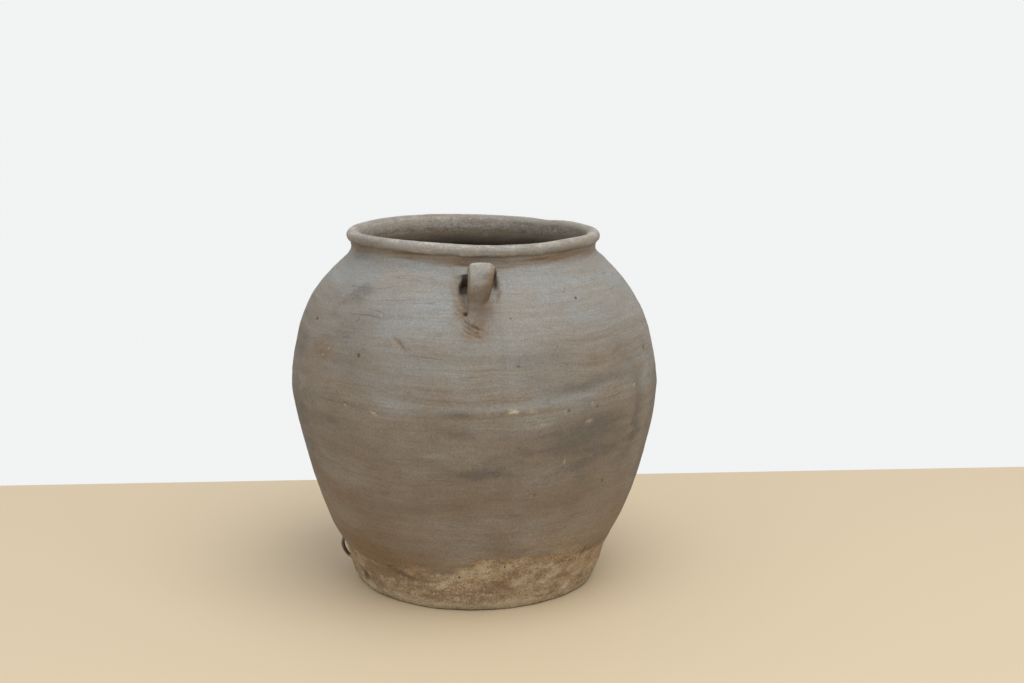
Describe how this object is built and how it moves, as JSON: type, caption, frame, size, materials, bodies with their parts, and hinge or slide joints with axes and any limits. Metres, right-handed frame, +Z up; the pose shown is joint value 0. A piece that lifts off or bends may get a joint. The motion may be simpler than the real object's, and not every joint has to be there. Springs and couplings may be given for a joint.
{
  "type": "earthenware storage jar",
  "caption": "Wide-bellied hand-built clay olla on a flat floor slab, with a luted belly seam, a short neck under a rolled rim and strap lugs for carrying and tipping.",
  "frame": {"origin": "on the jar's axis at the centre of the flat underside of the floor slab", "axes": "+Z up along the jar's axis, -Y towards the front lug, -X towards the side of the low tipping lug"},
  "size_m": [0.3624, 0.3624, 0.35],
  "materials": {
    "smoked_clay": "matte grey-brown smoked earthenware, worn and unglazed",
    "rim_clay": "matte grey earthenware, handled and slightly polished",
    "foot_clay": "rough ochre-brown earthenware, chipped and limed",
    "inner_clay": "matte brown earthenware"
  },
  "bodies": {
    "root": {"base_slab": "foot_clay", "corner_coil": "inner_clay", "lower_wall": "smoked_clay", "belt_strip": "smoked_clay", "upper_wall": "smoked_clay", "rim_roll": "rim_clay", "front_lug": "rim_clay", "rear_lug": "rim_clay", "low_lug": "rim_clay"}
  },
  "joints": []
}
